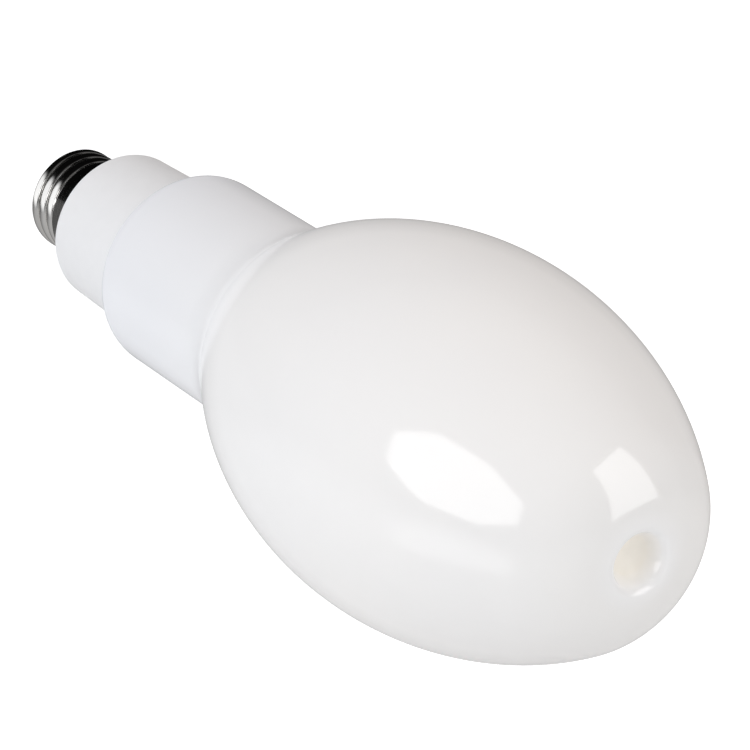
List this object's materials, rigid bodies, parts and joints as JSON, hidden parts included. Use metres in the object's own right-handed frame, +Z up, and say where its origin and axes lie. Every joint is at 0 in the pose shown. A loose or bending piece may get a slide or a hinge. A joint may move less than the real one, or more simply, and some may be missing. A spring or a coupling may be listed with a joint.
{
  "type": "high power led bulb",
  "caption": "Elongated oval opal lamp with a dimpled nose, a plain white driver collar and a metal screw cap with a centre contact.",
  "frame": {"origin": "on the lamp's axis, at the tip of the centre contact", "axes": "+X along the lamp's axis from the centre contact to the glass nose, +Z up, +Y to the left when looking along +X"},
  "size_m": [0.2388, 0.09, 0.09],
  "materials": {
    "opal_glass": "opal white coating, satin gloss",
    "cement": "matte",
    "white_plastic": "fine matte moulded",
    "nickel_plate": "polished nickel plate",
    "black_insulator": "glossy",
    "contact_metal": "satin",
    "board_laminate": "matte",
    "resistor_coat": "matte",
    "tinned_wire": "satin",
    "can_sleeve": "gloss",
    "ferrite": "matte",
    "copper_wire": "enamelled",
    "film_case": "semi gloss",
    "varistor_coat": "matte",
    "package_resin": "matte"
  },
  "bodies": {
    "root": {"glass_bulb": "opal_glass", "bulb_cement": "cement", "driver_housing": "white_plastic", "screw_shell": "nickel_plate", "base_insulator": "black_insulator", "centre_contact": "contact_metal", "driver_board": "board_laminate", "fuse_resistor": "resistor_coat", "shell_lead": "tinned_wire", "bulb_lead_positive": "tinned_wire", "bulb_lead_negative": "tinned_wire", "smoothing_capacitor": "can_sleeve", "output_capacitor": "can_sleeve", "choke_core": "ferrite", "choke_winding": "copper_wire", "film_capacitor": "film_case", "surge_varistor": "varistor_coat", "bridge_rectifier": "package_resin", "driver_chip": "package_resin", "power_transistor": "package_resin"}
  },
  "joints": []
}
